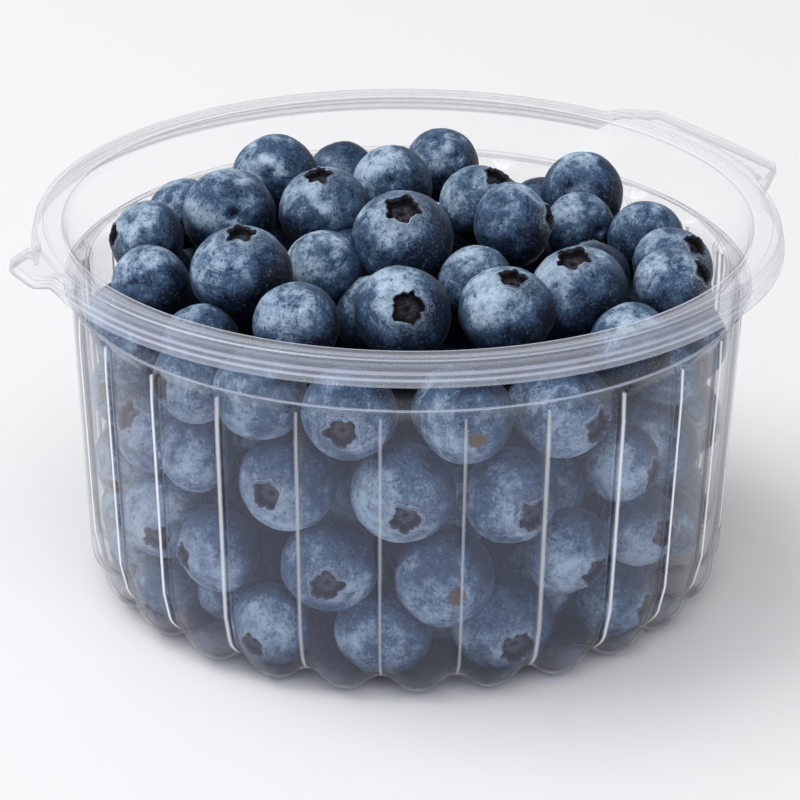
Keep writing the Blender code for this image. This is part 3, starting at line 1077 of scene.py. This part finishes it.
def clear_plastic():
    """Clear pressed sheet: a mirror at glancing angles, a little grey where it is seen edge on. Painted
    highlights and painted shade draw its rib and rim lines, and painted light tints its front and its
    wall's mirror blue.
    """
    finish, tree, output = new_finish("clear sheet")
    calc, mix, mark = partial(sum_node, tree), partial(mix_colour, tree), partial(named, tree)

    def layer(share, under, over):
        inputs = {0: share, 1: under.outputs[0], 2: over.outputs[0]}
        return add_node(tree, "ShaderNodeMixShader", inputs)

    inside = tree.nodes.new("ShaderNodeNewGeometry").outputs["Backfacing"]
    bending = ramp_node(tree, inside, 0.0, 1.0, PLASTIC_IOR, 1 / PLASTIC_IOR, "LINEAR")
    fresnel = add_node(tree, "ShaderNodeFresnel", {"IOR": bending})
    edge_on = add_node(tree, "ShaderNodeLayerWeight", {"Blend": 0.5}).outputs["Facing"]
    rib_highlight_line, rib_band = rib_bands(tree)

    # What shows through the sheet
    tint = mix(calc("POWER", edge_on, 8.0), (0.99, 0.99, 0.995), (0.52, 0.53, 0.55))
    # Painted shade: a dark band in each rib's groove, round the sides
    tint = mix(calc("MULTIPLY", rib_band, mark("sideways")), tint, (0.42, 0.43, 0.48))
    # Painted shade: grey lines along the rim's edges and the plates' folds
    shade = calc("MAXIMUM", ring_lines(tree, RIM_SHADES, "shaded"), mark("dark"))
    tint = mix(shade, tint, (0.40, 0.41, 0.43))
    # The bent foot throws the light aside, so little of it reaches the floor under it
    lit = calc("SUBTRACT", 1.0, tree.nodes.new("ShaderNodeLightPath").outputs["Is Camera Ray"])
    tint = mix(calc("MULTIPLY", lit, mark("foot")), tint, (0.55, 0.55, 0.57))
    through = add_node(tree, "ShaderNodeBsdfTransparent", {"Color": tint})

    # Painted reflection: where the wall is seen face on its gloss is tinted blue, as if a cooler floor
    # stood before it
    painted_cool = calc("MULTIPLY", mark("wall"), ramp_node(tree, edge_on, 0.7, 0.3))
    mirrored = mix(painted_cool, (0.93, 0.94, 0.96), (0.68, 0.74, 1.0))
    gloss = add_node(tree, "ShaderNodeBsdfGlossy", {"Color": mirrored, "Roughness": 0.12})

    # Painted light: at the front the milky layer is tinted blue, standing in for the light of the fruit
    # behind it
    painted_front_blue = mix(mark("front"), (0.86, 0.87, 0.89), (0.72, 0.78, 0.95))
    # Painted highlight: white lines on the ribs, dimmer at the front, and round the rim, in the milky layer
    milk_and_highlight = add_node(tree, "ShaderNodeBsdfDiffuse", {"Color": mix(rib_highlight_line, painted_front_blue, (0.98, 0.99, 1.0))})
    dimmer = calc("MULTIPLY_ADD", mark("sideways"), 0.6 * RIB_HIGHLIGHT_SHARE, 0.4 * RIB_HIGHLIGHT_SHARE)
    line = calc("MAXIMUM", calc("MULTIPLY", rib_highlight_line, dimmer), ring_lines(tree, RIM_HIGHLIGHTS, "rim_highlit"))
    hazed_and_highlit = layer(calc("MAXIMUM", mark("haze_and_highlight"), line), through, milk_and_highlight)
    coated = layer(calc("MULTIPLY", fresnel.outputs[0], mark("shine")), hazed_and_highlit, gloss)
    join(tree, coated.outputs[0], output.inputs["Surface"])
    return finish


def bloom_and_light_group():
    """The pale wax on the skin: where it lies, patchy, speckled and rubbed, with painted light that makes
    it paler on the lamp's side.
    """
    tree = bpy.data.node_groups.new("wax bloom", "ShaderNodeTree")
    add_socket(tree, "Vector", "INPUT", "Vector")
    for name in ("Tone", "Painted Light Share"):
        add_socket(tree, name, "INPUT")
    for name in ("Bloom And Light", "Grain"):
        add_socket(tree, name, "OUTPUT")
    inputs = tree.nodes.new("NodeGroupInput")
    outputs = tree.nodes.new("NodeGroupOutput")
    vector = inputs.outputs["Vector"]

    def streaks(turn, stretch, scale):
        lay = add_node(tree, "ShaderNodeMapping", {"Vector": vector, "Scale": stretch, "Rotation": turn})
        return noise_node(tree, lay.outputs[0], scale, 3.0, 0.7, 1.4)

    patches = ramp_node(tree, noise_node(tree, vector, 120.0, 2.0, 0.55, 0.6), 0.36, 0.64, kind="LINEAR")
    cloud = ramp_node(tree, noise_node(tree, vector, 430.0, 5.0, 0.75), 0.34, 0.66, kind="LINEAR")
    grain = noise_node(tree, vector, 2200.0, 2.0, 0.7)
    specks = ramp_node(tree, noise_node(tree, vector, 1300.0, 2.0, 0.6), 0.40, 0.30)
    rubbed = ramp_node(tree, streaks((0.5, 0.3, 0.8), (1.0, 0.22, 1.6), 560.0), 0.44, 0.30)
    wiped = ramp_node(tree, streaks((1.3, 0.9, 0.1), (0.25, 1.5, 1.0), 700.0), 0.56, 0.72)
    value = 0.0
    for effect, weight in (
        (patches, 0.36),
        (cloud, 0.36),
        (grain, 0.3),
        (inputs.outputs["Tone"], 0.12),
        # Painted light: paler on the side toward the lamp
        (inputs.outputs["Painted Light Share"], 0.66),
        (wiped, 0.14),
        (rubbed, -0.2),
        (specks, -0.22),
    ):
        value = sum_node(tree, "MULTIPLY_ADD", effect, weight, value)
    join(tree, ramp_node(tree, value, 0.55, 1.50, kind="LINEAR"), outputs.inputs["Bloom And Light"])
    join(tree, grain, outputs.inputs["Grain"])
    return tree


def berry_skin():
    """Blue-black skin under patchy pale wax with painted light on one side, a brown dry crown with painted
    shade in its crater, and a tan stem scar.
    """
    finish, tree, output = new_finish("blueberry skin")
    calc, mix, mark = partial(sum_node, tree), partial(mix_colour, tree), partial(named, tree)

    # Each fruit has wax of its own: its own space, moved on by its tone
    tone = mark("tone")
    spot = {0: mark("on_fruit", "Vector"), 1: (0.0075, 0.0075, 0.0075), 2: tone}
    vector = add_node(tree, "ShaderNodeVectorMath", spot, operation="MULTIPLY_ADD").outputs[0]
    wax = add_node(tree, "ShaderNodeGroup", node_tree=bloom_and_light_group())
    for name, value in (("Vector", vector), ("Tone", tone), ("Painted Light Share", mark("painted_light_share"))):
        join(tree, value, wax.inputs[name])
    # The bloom carries the wax and the painted light together
    bloom_and_light, grain = wax.outputs["Bloom And Light"], wax.outputs["Grain"]

    # Painted light on fruit at the wall is flatter: its pale side is dimmed and its dark side lifted
    walled = mark("walled")
    waxed_and_lit = calc("MULTIPLY", bloom_and_light, calc("MULTIPLY_ADD", walled, -0.22, 1.0))
    stops = (
        (0.0, (0.003, 0.005, 0.014)),
        (0.3, (0.012, 0.025, 0.060)),
        (0.6, (0.054, 0.104, 0.190)),
        (1.0, (0.42, 0.54, 0.68)),
    )
    skin = colour_ramp(tree, calc("MULTIPLY_ADD", walled, 0.16, waxed_and_lit), stops)

    # Creased wax round the crown, and a dry crater in it: painted shade takes its walls near black, and
    # fruit at the wall gets a lighter, lit copy of its floor
    crown = mark("crown")
    rag = calc("MULTIPLY_ADD", calc("SUBTRACT", grain, 0.5), 0.5, crown)
    halo = calc("MULTIPLY", ramp_node(tree, rag, 0.02, 0.2), ramp_node(tree, rag, 0.66, 0.5))
    creased = calc("MULTIPLY_ADD", calc("SINE", calc("MULTIPLY", rag, 24.0)), 0.5, 0.5)
    haloed = mix(calc("MULTIPLY", halo, calc("MULTIPLY", creased, 0.75)), skin, (0.30, 0.37, 0.46))
    flecked = ramp_node(tree, grain, 0.32, 0.8)
    crater_shaded = mix(flecked, (0.008, 0.007, 0.012), (0.066, 0.060, 0.084))
    crater_lit = mix(flecked, (0.025, 0.020, 0.028), (0.105, 0.098, 0.128))
    # Painted shade: the deepest rings of the crater go near black
    dry = mix(ramp_node(tree, crown, 0.9, 0.99), mix(walled, crater_shaded, crater_lit), (0.004, 0.004, 0.005))
    crowned = mix(ramp_node(tree, rag, 0.62, 0.82), haloed, dry)
    cork = mix(grain, (0.05, 0.03, 0.02), (0.2, 0.14, 0.1))
    scar = calc("MULTIPLY", ramp_node(tree, mark("scar"), 0.4, 0.8), mark("scarred"))
    surface = {
        "Base Color": mix(scar, crowned, cork),
        "Roughness": ramp_node(tree, bloom_and_light, 0.0, 1.0, 0.42, 0.72, "LINEAR"),
        "IOR": 1.42,
        "Specular IOR Level": 0.25,
        "Sheen Weight": 0.06,
        "Sheen Roughness": 0.35,
        "Sheen Tint": (0.70, 0.82, 1.0, 1.0),
    }
    shader = add_node(tree, "ShaderNodeBsdfPrincipled", surface)
    join(tree, shader.outputs[0], output.inputs["Surface"])
    return finish


# ---- Floor, light and camera ----


def add_floor():
    """A broad floor, just under the tub so that the two don't meet."""
    corners = [(x, y, -FLOOR_GAP * MM) for x, y in ((-3, -3), (3, -3), (3, 3), (-3, 3))]
    mesh = bpy.data.meshes.new("floor")
    mesh.from_pydata(corners, [], [(0, 1, 2, 3)])
    surface = {"Base Color": (0.87, 0.87, 0.885, 1.0), "Roughness": 0.5, "Specular IOR Level": 0.2}
    mesh.materials.append(plain_finish("pale floor", "ShaderNodeBsdfPrincipled", surface))
    new_object("floor", mesh)


def add_softbox(name, turn, rise, watts, mirrored):
    """A broad lamp that faces the tub from this turn and rise."""
    light = bpy.data.lights.new(name, "AREA")
    light.size = SOFTBOX_SIZE * MM
    light.energy = watts
    toward = compass(turn, rise)
    lamp = new_object(name, light)
    lamp.visible_glossy = mirrored
    lamp.location = toward * SOFTBOX_DISTANCE * MM
    lamp.rotation_euler = toward.to_track_quat("Z", "Y").to_euler()


def add_light():
    """A pale backdrop all round under a darker ceiling, with a broad key lamp and a weak fill."""
    world = bpy.data.worlds.new("studio")
    bpy.context.scene.world = world
    world.use_nodes = True
    tree = world.node_tree
    way = tree.nodes.new("ShaderNodeTexCoord").outputs["Generated"]
    up = add_node(tree, "ShaderNodeSeparateXYZ", {0: way}).outputs[2]
    strength = ramp_node(tree, up, BACKDROP_TOP, CEILING_START, BACKDROP_STRENGTH, CEILING_STRENGTH)
    join(tree, strength, tree.nodes["Background"].inputs["Strength"])
    join(tree, (1.0, 1.0, 1.0, 1.0), tree.nodes["Background"].inputs["Color"])
    add_softbox("key", KEY_TURN_DEG, KEY_RISE_DEG, KEY_WATTS, True)
    add_softbox("fill", FILL_TURN_DEG, FILL_RISE_DEG, FILL_WATTS, False)


def add_camera():
    camera = new_object("camera", bpy.data.cameras.new("camera"))
    camera.data.sensor_width = 36.0
    camera.data.lens = CAMERA_LENS
    camera.data.clip_start = 0.05
    camera.data.clip_end = 20.0
    down, turn, roll = (math.radians(d) for d in (CAMERA_DOWN_DEG, CAMERA_TURN_DEG, CAMERA_ROLL_DEG))
    camera.matrix_world = (
        Matrix.Translation((0.0, -CAMERA_BACK * MM, CAMERA_UP * MM))
        @ Matrix.Rotation(-turn, 4, "Z")
        @ Matrix.Rotation(math.pi / 2 - down, 4, "X")
        @ Matrix.Rotation(roll, 4, "Z")
    )
    bpy.context.scene.camera = camera


def main():
    tub = build_tub(clear_plastic())
    fruit = placed_fruit()
    settle(fruit)
    kinds = [fruit_mesh(f"blueberry_{k}", 100 + k) for k in range(FRUIT_KINDS)]
    heap = build_heap("fruit", fruit, kinds, berry_skin(), 3)
    mark_painted_lit_side(heap.data)
    # The inner fruit and the core are always in shade: their flat near-black finish is painted shade
    shaded = plain_finish("shaded fruit", "ShaderNodeBsdfDiffuse", {"Color": (0.005, 0.007, 0.013, 1.0)})
    inner = build_heap("inner_fruit", inner_fruit(fruit), [coarse_fruit_mesh("coarse")], shaded, 4)
    core = build_core(shaded)
    for piece, node, slot in (
        (tub, "tub", "clear_plastic"),
        (heap, "berries", "berry_skin"),
        (inner, "berries", "berry_skin"),
        (core, "berries", "berry_skin"),
    ):
        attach(piece, "root")
        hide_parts(node)
    add_floor()
    add_light()
    add_camera()
    bpy.context.scene.view_settings.view_transform = "Standard"


main()
